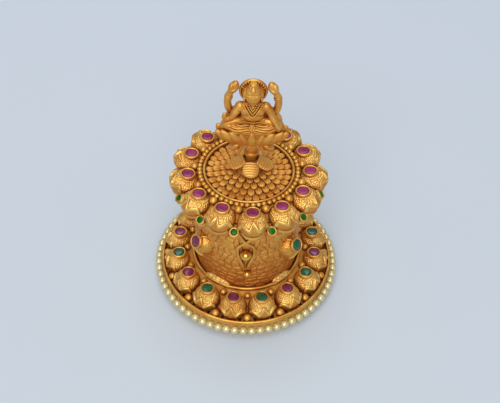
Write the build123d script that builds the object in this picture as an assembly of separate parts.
from build123d import *
import math
import os

# Kumkum box: a footed drum with a lift-off lid, in millimetres.
# +Z is up, the origin is the centre of the underside and the seated figure faces -Y.
# A bearing is an angle round Z, measured from -Y towards +X.

# Driving dimensions
overall_diameter = 60.0
pearl_diameter = 2.5
pearl_count = 69
stone_diameter = 3.5
edge_stone_diameter = 2.0
base_bud_count = 16
lid_bud_count = 13
wall_motif_count = 3
drum_radius = 16.3
drum_wall = 1.0
mouth_height = 41.0
sheet = 0.8

# Base
pearl_circle = overall_diameter / 2 - pearl_diameter / 2
pearl_height = 3.2
pearl_wire_radius = 0.3
pearl_bore_radius = 0.35
band_outer = pearl_circle - pearl_diameter / 2
band_thickness = 0.6
band_top = 5.0
rim_wire_radius = 0.45
collar_inner = 16.9
collar_thickness = 0.6
collar_top = 8.6
collar_wire_radius = 0.5
apron_inner = collar_inner + collar_thickness
apron_outer = band_outer - band_thickness
apron_foot = 4.2
apron_head = 8.2
apron_slope = (apron_head - apron_foot) / (apron_outer - apron_inner)
base_bud_circle = 22.5
base_bud_centre = 6.5
base_bud_semi = (4.25, 4.0, 4.2)
base_first_bearing = 2.64
base_stone_circle = 21.86
base_stone_height = 10.83
base_stone_tilt = 0.0
outer_granule_circle = 25.6
outer_granule_diameter = 2.3
inner_granule_circle = 19.2
inner_granule_diameter = 1.8
pierced_circle = 25.75
pierced_size = 1.0
pierced_offset = 5.3

# Settings: the collar of metal round a stone and the stone in it
bezel_wall = 0.42
bezel_height = 1.3
bezel_lip = 0.12
crown_height = 0.32
collet_length = 2.4
collet_wall = 0.36

# Drum
floor_top = 2.0
wall_bud_bearing = 52.0
wall_bud_circle = 15.55
wall_bud_height = 22.15
wall_bud_radius = 4.15
wall_stone_rise = 35.0
wall_stone_stand = 0.3
drop_wire_radius = 0.5
drop_wire_stand = 0.2
drop_tip = 18.4
drop_waist = 24.8
drop_shoulder = 28.2
drop_crossing = 30.6
drop_horn = 33.6
drop_half_width = 2.4
drop_horn_width = 1.6
large_ball_diameter = 3.4
large_ball_height = 25.8
small_ball_diameter = 2.4
small_ball_height = 16.4
small_ball_shift = 0.6

# Lid
plate_radius = 17.2
plate_top = 42.8
brim_inner = 12.6
brim_bend = 13.8
brim_outer = 22.6
brim_slope = 0.45
brim_top = plate_top + sheet
spigot_clearance = 0.15
spigot_depth = 5.0
spigot_wall = 0.85
lid_bud_circle = 18.7
lid_bud_centre = 41.7
lid_bud_semi = (4.0, 4.4, 3.0)
lid_first_bearing = 4.8
lid_stone_circle = 17.37
lid_stone_height = 44.6
lid_stone_tilt = 2.0
edge_stone_circle = 21.75
edge_stone_height = 40.9
edge_stone_tilt = -35.0
edge_setting_height = 0.5
ring_granule_count = 58
ring_granule_circle = 14.2
ring_granule_diameter = 1.25
gap_granule_circle = 15.7
gap_granule_diameter = 1.9
lid_wire_circle = 13.0
lid_wire_radius = 0.4
rosette_circles = (11.5, 9.5, 7.6, 5.9)
rosette_counts = (32, 27, 22, 17)
rosette_step = 0.62
petal_radius = 0.9
petal_reach = 0.95

# Finial: its points are (x, y, z) from its own middle, and it is alike on both sides but for the front arms
finial_offset = 0.5
finial_foot = plate_top + rosette_step * len(rosette_circles)
foot_radius = 2.6
neck_radius = 1.2
bowl_radius = 2.2
finial_bowl_top = 51.0
leaf_count = 5
leaf_middle = (0, -4.3, 47.3)
leaf_droop = 20.0
leaf_semi = (2.2, 2.5, 0.5)
heart_middle = (0, -1.3, 53.9)
heart_semi = (1.25, 0.8, 2.6)
prop_top = (2.5, -0.9, 55.3)
prop_end = (3.8, -1.2, 51.7)
prop_radius = 0.45
side_leaf_middle = (3.6, 0, 53.3)
side_leaf_semi = (3.0, 1.2, 0.9)
side_leaf_droop = 22.0

# Lotus
lotus_bottom = 55.4
lotus_top = 60.4
lotus_semi = (9.3, 2.5, 5.5)
lotus_tip = (9.2, 0.4, 60.6)
lotus_tip_root = (7.4, 0.4, 59.2)
lotus_tip_radii = (0.7, 0.4)
front_petal_middle = (0, -2.2, 58.0)
front_petal_semi = (1.45, 1.1, 2.75)
inner_petal_middle = (2.6, -2.1, 58.2)
inner_petal_lean = 26.0
outer_petal_middle = (4.7, -1.9, 58.2)
outer_petal_lean = 40.0
long_petal_middle = (6.4, -1.3, 57.8)
long_petal_lean = 62.0
long_petal_semi = (1.3, 0.9, 3.8)

# Figure
lap_middle = (0, -0.4, 61.3)
lap_semi = (7.8, 2.6, 1.5)
hip_middle = (0, 0.2, 62.8)
hip_semi = (3.8, 2.2, 1.6)
belly_middle = (0, -0.4, 64.9)
belly_semi = (3.1, 1.9, 1.8)
chest_middle = (0, -0.1, 67.0)
chest_semi = (3.6, 2.0, 2.3)
neck_low = (0, -0.2, 68.2)
neck_radii = (1.3, 1.2)
head_middle = (0, -0.7, 71.7)
head_semi = (2.2, 1.95, 2.2)
hair_middle = (1.8, -0.1, 71.6)
hair_semi = (0.9, 1.2, 1.7)
crown_low = 72.9
crown_top = 75.4
crown_radius = 1.8
crown_end = 0.9
halo_middle = (0, 0.95, 71.75)
halo_radius = 3.8
halo_thickness = 0.9
hip_joint = (2.2, -0.2, 62.6)
knee = (7.0, -1.3, 62.2)
ankle = (0.6, -2.9, 61.3)
leg_radii = (1.55, 1.2, 0.75)
rear_shoulder = (2.3, 0.7, 67.2)
rear_elbow = (5.8, 0.6, 65.4)
rear_bend = (6.7, 0.45, 68.6)
rear_wrist = (5.7, 0.2, 72.1)
held_bud = (4.9, 0.1, 73.6)
held_bud_semi = (1.3, 0.9, 1.5)
held_bud_lean = 20.0
rear_arm_radii = (0.95, 0.9, 0.85, 0.75)
shoulder = (3.2, -0.2, 67.6)
raised_elbow = (-5.5, -1.4, 64.5)
raised_wrist = (-7.0, -1.7, 64.1)
raised_hand = (-7.45, -1.7, 65.3)
lowered_elbow = (5.2, -1.3, 65.0)
lowered_wrist = (6.7, -2.5, 62.8)
lowered_hand = (7.1, -2.7, 61.9)
front_arm_radii = (1.25, 1.0, 0.7, 0.55)

# Sepals, drawn on a plane that faces a viewer at this elevation; the levels of the middle tip, the
# valleys and the side tips are parts of the bud's half width
sepal_stand = 0.25
base_sepal_view = 56.0
base_sepal_levels = (-0.12, -0.65, -0.25)
lid_sepal_view = 49.0
lid_sepal_levels = (0.1, -0.62, -0.2)
far = 40.0


def turned(points):
    # A closed outline of (radius, height) points turned about Z
    outline = make_face(Polyline(*[(r, 0, z) for r, z in points], close=True))
    return revolve(outline, Axis.Z)


def wire_ring(circle, radius, seat):
    # A round wire bent to a ring and flattened a little where it is soldered down
    sunk = radius * 0.2
    section = Pos(circle, 0, seat + radius - sunk) * Rot(90, 0, 0) * Circle(radius)
    ring = revolve(section, Axis.Z)
    return ring - Pos(0, 0, seat - 1) * Cylinder(circle + 2, 2)


def ellipsoid(semi):
    return scale(Sphere(1), by=tuple(semi))


def around(piece, bearings):
    return [Rot(0, 0, bearing) * piece for bearing in bearings]


def even(count, first=0.0):
    return [first + 360 / count * k for k in range(count)]


def apron_surface(circle):
    return apron_foot + (apron_outer - circle) * apron_slope


def brim_surface(circle):
    return brim_top - max(circle - brim_bend, 0) * brim_slope


def under_apron():
    # Everything below the apron's upper face, to seat pieces on it
    reach = 6
    return turned([
        (apron_inner - reach, 0),
        (apron_outer + reach, 0),
        (apron_outer + reach, apron_surface(apron_outer + reach)),
        (apron_inner - reach, apron_surface(apron_inner - reach)),
    ])


def under_brim():
    # Everything below the brim's upper face, to seat pieces on it
    reach = 5
    return turned([
        (0, 0),
        (brim_outer + reach, 0),
        (brim_outer + reach, brim_surface(brim_outer + reach)),
        (brim_bend, brim_top),
        (0, brim_top),
    ])


def seated_ball(circle, diameter, surface, carrier):
    # A granule sunk by a quarter of its radius and cut to the face that carries it
    centre = surface + diameter / 2 * 0.75
    return Pos(0, -circle, centre) * Sphere(diameter / 2) - carrier


def setting_place(circle, height, tilt, depth):
    # The frame of a setting: its seat in the middle, Z out of the stone, tilted in towards the axis
    lean = math.radians(tilt)
    out = Vector(0, math.sin(lean), math.cos(lean))
    seat = Vector(0, -circle, height) - out * depth
    return Plane(origin=seat, x_dir=(1, 0, 0), z_dir=out)


def pocket(diameter, wall):
    return Pos(0, 0, far / 2) * Cylinder(diameter / 2 + wall, far)


def bezel():
    # A tube round the stone with its upper edge turned a little inwards
    inner = stone_diameter / 2
    outer = inner + bezel_wall
    return turned([
        (inner, 0),
        (outer, 0),
        (outer, bezel_height - bezel_lip),
        (outer - bezel_lip, bezel_height),
        (inner, bezel_height),
    ])


def stone(diameter, height):
    # A round stone with a straight girdle and a sloping crown up to its table
    girdle = diameter / 2
    return turned([
        (0, 0),
        (girdle, 0),
        (girdle, height - crown_height * 0.5),
        (girdle * 0.62, height + crown_height * 0.5),
        (0, height + crown_height * 0.5),
    ])


def sepal_prism(half_width, levels):
    # Three pointed sepals: a zig-zag edge, extruded towards the viewer
    middle, valley, side = [level * half_width for level in levels]
    low = -2 * half_width
    zigzag = [
        (-1.2 * half_width, low),
        (-0.75 * half_width, side),
        (-0.32 * half_width, valley),
        (0, middle),
        (0.32 * half_width, valley),
        (0.75 * half_width, side),
        (1.2 * half_width, low),
    ]
    return extrude(make_face(Polyline(*zigzag, close=True)), 3 * half_width)


def bud(semi, circle, centre, setting, carrier, view, levels):
    # A lotus bud at bearing 0: a rounded body, three raised sepals outside and a pocket for the setting
    tilt = math.radians(view)
    facing = Plane(
        origin=(0, -circle, centre),
        x_dir=(1, 0, 0),
        z_dir=(0, -math.cos(tilt), math.sin(tilt)),
    )
    place = Pos(0, -circle, centre)
    body = place * ellipsoid(semi)
    husk = place * ellipsoid([s + sepal_stand for s in semi])
    sepals = husk & facing * sepal_prism(semi[0], levels)
    cut = setting * pocket(stone_diameter, bezel_wall)
    return body + sepals - carrier - cut


def base_parts():
    base_bearings = even(base_bud_count, base_first_bearing + 180 / base_bud_count)
    gap_bearings = even(base_bud_count, base_first_bearing)
    carrier = under_apron()
    setting = setting_place(base_stone_circle, base_stone_height, base_stone_tilt, bezel_height)
    one_bud = bud(
        base_bud_semi, base_bud_circle, base_bud_centre, setting, carrier, base_sepal_view, base_sepal_levels
    )
    outer_ball = seated_ball(
        outer_granule_circle, outer_granule_diameter, apron_surface(outer_granule_circle), carrier
    )
    inner_ball = seated_ball(
        inner_granule_circle, inner_granule_diameter, apron_surface(inner_granule_circle), carrier
    )
    gem = setting * stone(stone_diameter, bezel_height)
    return {
        "base_plate": Pos(0, 0, sheet / 2) * Cylinder(band_outer, sheet),
        "base_edge_band": base_band(),
        "rim_wire": wire_ring(band_outer - band_thickness / 2, rim_wire_radius, band_top),
        "pearl_wire": pearl_wire(),
        "pearls": around(pearl(), even(pearl_count)),
        "base_apron": base_apron(gap_bearings),
        "base_buds": around(one_bud, base_bearings),
        "base_bezels": around(setting * bezel(), base_bearings),
        "base_rubies": around(gem, base_bearings[1::2]),
        "base_emeralds": around(gem, base_bearings[0::2]),
        "base_outer_granules": around(outer_ball, gap_bearings),
        "base_inner_granules": around(inner_ball, gap_bearings),
        "base_collar": turned([
            (collar_inner, sheet),
            (apron_inner, sheet),
            (apron_inner, collar_top),
            (collar_inner, collar_top),
        ]),
        "collar_wire": wire_ring(collar_inner + collar_thickness / 2, collar_wire_radius, collar_top),
    }


def base_band():
    return turned([
        (apron_outer, sheet),
        (band_outer, sheet),
        (band_outer, band_top),
        (apron_outer, band_top),
    ])


def pearl_wire():
    return revolve(Pos(pearl_circle, 0, pearl_height) * Rot(90, 0, 0) * Circle(pearl_wire_radius), Axis.Z)


def pearl():
    bore = Rot(0, 90, 0) * Cylinder(pearl_bore_radius, 2 * pearl_diameter)
    return Pos(0, -pearl_circle, pearl_height) * (Sphere(pearl_diameter / 2) - bore)


def base_apron(gap_bearings):
    # A sloping sheet with a pair of pierced triangles beside each outer granule
    sheet_ring = turned([
        (apron_inner, apron_head - sheet),
        (apron_outer, apron_foot - sheet),
        (apron_outer, apron_foot),
        (apron_inner, apron_head),
    ])
    triangle = Pos(0, -pierced_circle) * Rot(0, 0, 30) * RegularPolygon(pierced_size, 3)
    hole = extrude(triangle, collar_top)
    pairs = [g + side * pierced_offset for g in gap_bearings for side in (-1, 1)]
    return sheet_ring - around(hole, pairs)


def wall_parts():
    drum = Pos(0, 0, mouth_height / 2) * Cylinder(drum_radius, mouth_height)
    bud_bearings = (wall_bud_bearing, 180.0, -wall_bud_bearing)
    drop_bearings = even(wall_motif_count)
    rise = math.radians(wall_stone_rise)
    out = Vector(0, -math.cos(rise), math.sin(rise))
    middle = Vector(0, -wall_bud_circle, wall_bud_height)
    seat = middle + out * (wall_bud_radius + wall_stone_stand - bezel_height)
    setting = Plane(origin=seat, x_dir=(1, 0, 0), z_dir=out)
    body = Pos(middle) * Sphere(wall_bud_radius)
    one_bud = body - drum - setting * pocket(stone_diameter, bezel_wall)
    gem = setting * stone(stone_diameter, bezel_height) - drum
    large_ball = Pos(0, -drum_radius - large_ball_diameter * 0.35, large_ball_height)
    small_ball = Pos(small_ball_shift, -drum_radius - small_ball_diameter * 0.35, small_ball_height)
    return {
        "cup_wall": turned([
            (drum_radius - drum_wall, sheet),
            (drum_radius, sheet),
            (drum_radius, mouth_height),
            (drum_radius - drum_wall, mouth_height),
        ]),
        "cup_floor": turned([
            (0, sheet),
            (drum_radius - drum_wall, sheet),
            (drum_radius - drum_wall, floor_top),
            (0, floor_top),
        ]),
        "wall_buds": around(one_bud, bud_bearings),
        "wall_bezels": around(setting * bezel() - drum, bud_bearings),
        "wall_rubies": around(gem, bud_bearings[1:]),
        "wall_emeralds": around(gem, bud_bearings[:1]),
        "drop_frames": around(drop_frame() - drum, drop_bearings),
        "drop_large_balls": around(large_ball * Sphere(large_ball_diameter / 2) - drum, drop_bearings),
        "drop_small_balls": around(small_ball * Sphere(small_ball_diameter / 2) - drum, drop_bearings),
    }


def drop_frame():
    # Two wires that part from the tip, round the shoulders, cross and splay out under the lid
    depth = -drum_radius - drop_wire_stand
    wires = []
    for side in (-1, 1):
        corners = [
            (0, depth, drop_tip),
            (side * drop_half_width, depth, drop_waist),
            (side * drop_half_width, depth, drop_shoulder),
            (0, depth, drop_crossing),
            (-side * drop_horn_width, depth, drop_horn),
        ]
        path = FilletPolyline(*corners, radius=1.0)
        section = Plane(origin=path @ 0, z_dir=path % 0) * Circle(drop_wire_radius)
        wires.append(sweep(section, path))
    return wires[0] + wires[1]


def lid_parts():
    bearings = even(lid_bud_count, lid_first_bearing)
    gaps = even(lid_bud_count, lid_first_bearing + 180 / lid_bud_count)
    carrier = under_brim()
    setting = setting_place(lid_stone_circle, lid_stone_height, lid_stone_tilt, bezel_height)
    one_bud = bud(
        lid_bud_semi, lid_bud_circle, lid_bud_centre, setting, carrier, lid_sepal_view, lid_sepal_levels
    )
    gem = setting * stone(stone_diameter, bezel_height)
    edge_setting = setting_place(
        edge_stone_circle, edge_stone_height, edge_stone_tilt, edge_setting_height
    )
    half_step = 180 / lid_bud_count
    collet = edge_setting * edge_collet() - carrier - around(one_bud, (-half_step, half_step))
    ring_ball = seated_ball(
        ring_granule_circle, ring_granule_diameter, brim_surface(ring_granule_circle), carrier
    )
    gap_ball = seated_ball(
        gap_granule_circle, gap_granule_diameter, brim_surface(gap_granule_circle), carrier
    )
    parts = {
        "lid_plate": lid_plate(),
        "lid_spigot": lid_spigot(),
        "lid_brim": lid_brim(bearings, gaps),
        "lid_buds": around(one_bud, bearings),
        "lid_bezels": around(setting * bezel(), bearings),
        "lid_rubies": around(gem, bearings),
        "edge_collets": around(collet, gaps),
        "edge_emeralds": around(edge_setting * stone(edge_stone_diameter, edge_setting_height), gaps),
        "lid_ring_granules": around(ring_ball, even(ring_granule_count)),
        "lid_gap_granules": around(gap_ball, gaps),
        "lid_wire_ring": wire_ring(lid_wire_circle, lid_wire_radius, brim_top),
    }
    for row in range(len(rosette_circles)):
        parts[f"rosette_row_{row + 1}"] = rosette_row(row)
    return parts


def lid_plate():
    # A disc that rests on the mouth, with its upper edge sloped to carry the brim
    edge = plate_top - (plate_radius - brim_bend) * brim_slope
    return turned([
        (0, mouth_height),
        (plate_radius, mouth_height),
        (plate_radius, edge),
        (brim_bend, plate_top),
        (0, plate_top),
    ])


def lid_spigot():
    outer = drum_radius - drum_wall - spigot_clearance
    return turned([
        (outer - spigot_wall, mouth_height - spigot_depth),
        (outer, mouth_height - spigot_depth),
        (outer, mouth_height),
        (outer - spigot_wall, mouth_height),
    ])


def lid_brim(bearings, gaps):
    # A sloping sheet cut to lobes, one under each bud and a small one under each edge stone
    fall = (brim_outer - brim_bend) * brim_slope
    cone = turned([
        (brim_inner, plate_top),
        (brim_bend, plate_top),
        (brim_outer, plate_top - fall),
        (brim_outer, brim_top - fall),
        (brim_bend, brim_top),
        (brim_inner, brim_top),
    ])
    lobe_radius = lid_bud_semi[0] - 0.2
    outline = Circle(lid_bud_circle)
    outline += around(Pos(0, -lid_bud_circle) * Circle(lobe_radius), bearings)
    outline += around(Pos(0, 0.9 - edge_stone_circle) * Circle(edge_stone_diameter * 0.75), gaps)
    return cone & extrude(outline, brim_top + 1)


def edge_collet():
    # A closed-ended tube that holds the edge stone
    outer = edge_stone_diameter / 2 + collet_wall
    inner = edge_stone_diameter / 2
    return turned([
        (0, edge_setting_height - collet_length),
        (outer, edge_setting_height - collet_length),
        (outer, edge_setting_height),
        (inner, edge_setting_height),
        (inner, 0),
        (0, 0),
    ])


def rosette_row(row):
    # One step of the rosette: a disc with rounded petals lying on its edge
    circle = rosette_circles[row]
    low = plate_top + rosette_step * row
    disc = Pos(0, 0, low + rosette_step / 2) * Cylinder(circle - petal_reach / 2, rosette_step)
    centre = low + petal_radius * 0.45
    length = 2 * petal_radius
    petal = limb((0, length - circle, centre), (0, -circle, centre), petal_radius, petal_radius)
    petal -= Pos(0, 0, low - far / 2) * Cylinder(far, far)
    tier = disc + around(petal, even(rosette_counts[row], 180 / rosette_counts[row] * (row % 2)))
    if row + 1 < len(rosette_circles):
        inner_reach = rosette_circles[row + 1] + petal_reach
    else:
        inner_reach = circle - 2 * petal_reach
    return tier - Pos(0, 0, low + rosette_step + far / 2) * Cylinder(inner_reach, far)


def limb(start, end, start_radius, end_radius):
    # A tapering round-ended bar from one point to another
    axis = Vector(*end) - Vector(*start)
    length = axis.length
    side = Line((start_radius, 0, 0), (end_radius, 0, length))
    low = CenterArc((0, 0, 0), start_radius, -90, 90)
    low = Plane.XZ * low
    high = Plane.XZ * Pos(0, length) * CenterArc((0, 0, 0), end_radius, 0, 90)
    spine = Line((0, 0, length + end_radius), (0, 0, -start_radius))
    profile = make_face([low, side, high, spine])
    return Plane(origin=start, z_dir=axis) * revolve(profile, Axis.Z)


def finial_parts():
    return {
        "finial_stem": finial_stem(),
        "finial_leaves": finial_leaves(),
        "lotus_seat": lotus_seat(),
        "seated_figure": seated_figure(),
    }


def both_sides(point):
    x, y, z = point
    return [(-x, y, z), (x, y, z)]


def front_and_back(point):
    x, y, z = point
    return [(x, y, z), (x, -y, z)]


def oval(middle, semi, lean=0.0):
    # An egg shape at a point, leaning sideways
    return Pos(*middle) * Rot(0, lean, 0) * ellipsoid(semi)


def above(height):
    return Pos(0, 0, height + far / 2) * Box(2 * far, 2 * far, far)


def below(height):
    return Pos(0, 0, height - far / 2) * Box(2 * far, 2 * far, far)


def finial_stem():
    # A turned bowl on a foot, with drooping petals under the lotus
    stem = turned([
        (0, finial_foot),
        (foot_radius, finial_foot),
        (foot_radius, finial_foot + sheet),
        (neck_radius, finial_foot + 2 * sheet),
        (bowl_radius, finial_bowl_top),
        (neck_radius, finial_bowl_top + sheet),
        (neck_radius, lotus_bottom),
        (0, lotus_bottom),
    ])
    for heart in front_and_back(heart_middle):
        stem += oval(heart, heart_semi)
    for side, leaf_place in zip((-1, 1), both_sides(side_leaf_middle)):
        stem += oval(leaf_place, side_leaf_semi, side * side_leaf_droop)
    for depth_top, depth_end in zip(front_and_back(prop_top), front_and_back(prop_end)):
        for top, end in zip(both_sides(depth_top), both_sides(depth_end)):
            stem += limb(top, end, prop_radius, prop_radius)
    return Pos(finial_offset, 0, 0) * (stem - above(lotus_bottom))


def finial_leaves():
    # Broad leaves that droop outwards from the stem
    blade = Pos(*leaf_middle) * Rot(leaf_droop, 0, 0) * ellipsoid(leaf_semi)
    stem = finial_stem()
    return [Pos(finial_offset, 0, 0) * leaf - stem for leaf in around(blade, even(leaf_count))]


def lotus_seat():
    # A boat-shaped flower with a row of petals on its front and back
    seat = oval((0, 0, lotus_top), lotus_semi)
    for front in front_and_back(front_petal_middle):
        seat += oval(front, front_petal_semi)
    rows = [
        (inner_petal_middle, inner_petal_lean, front_petal_semi),
        (outer_petal_middle, outer_petal_lean, front_petal_semi),
        (long_petal_middle, long_petal_lean, long_petal_semi),
    ]
    for middle, lean, semi in rows:
        for place in front_and_back(middle):
            for side, petal_place in zip((-1, 1), both_sides(place)):
                seat += oval(petal_place, semi, side * lean)
    seat = seat - above(lotus_top) - below(lotus_bottom)
    for root, tip in zip(both_sides(lotus_tip_root), both_sides(lotus_tip)):
        seat += limb(root, tip, *lotus_tip_radii)
    return Pos(finial_offset, 0, 0) * seat


def seated_figure():
    # A cross-legged figure: two arms behind hold flower buds up, one front hand is raised and one lowered
    body = oval(lap_middle, lap_semi) + oval(hip_middle, hip_semi)
    body += oval(belly_middle, belly_semi)
    body += oval(chest_middle, chest_semi)
    body += limb(neck_low, head_middle, *neck_radii)
    body += oval(head_middle, head_semi)
    crown_height = crown_top - crown_low
    crown = Cone(crown_radius, crown_end, crown_height)
    body += Pos(0, head_middle[1], crown_low + crown_height / 2) * crown
    body += Pos(*halo_middle) * Rot(90, 0, 0) * Cylinder(halo_radius, halo_thickness)
    for side in (-1, 1):
        body += oval(mirror_x(hair_middle, side), hair_semi)
        body += leg(side)
        body += rear_arm(side)
    body += front_arm(mirror_x(shoulder, -1), raised_elbow, raised_wrist, raised_hand)
    body += front_arm(shoulder, lowered_elbow, lowered_wrist, lowered_hand)
    return Pos(finial_offset, 0, 0) * (body - below(lotus_top))


def mirror_x(point, side):
    x, y, z = point
    return (side * x, y, z)


def chain(points, radii):
    # Limbs from point to point, with a radius at each
    bars = limb(points[0], points[1], radii[0], radii[1])
    for k in range(1, len(points) - 1):
        bars += limb(points[k], points[k + 1], radii[k], radii[k + 1])
    return bars


def leg(side):
    return chain([mirror_x(p, side) for p in (hip_joint, knee, ankle)], leg_radii)


def rear_arm(side):
    joints = (rear_shoulder, rear_elbow, rear_bend, rear_wrist)
    arm = chain([mirror_x(p, side) for p in joints], rear_arm_radii)
    return arm + oval(mirror_x(held_bud, side), held_bud_semi, -held_bud_lean * side)


def front_arm(start, elbow, wrist, hand):
    return chain([start, elbow, wrist, hand], front_arm_radii)


def write(parts):
    os.makedirs("parts", exist_ok=True)
    for node, shape in parts.items():
        if isinstance(shape, list):
            shape = Compound(children=shape)
        export_step(shape, f"parts/{node}.step")


write({**base_parts(), **wall_parts(), **lid_parts(), **finial_parts()})
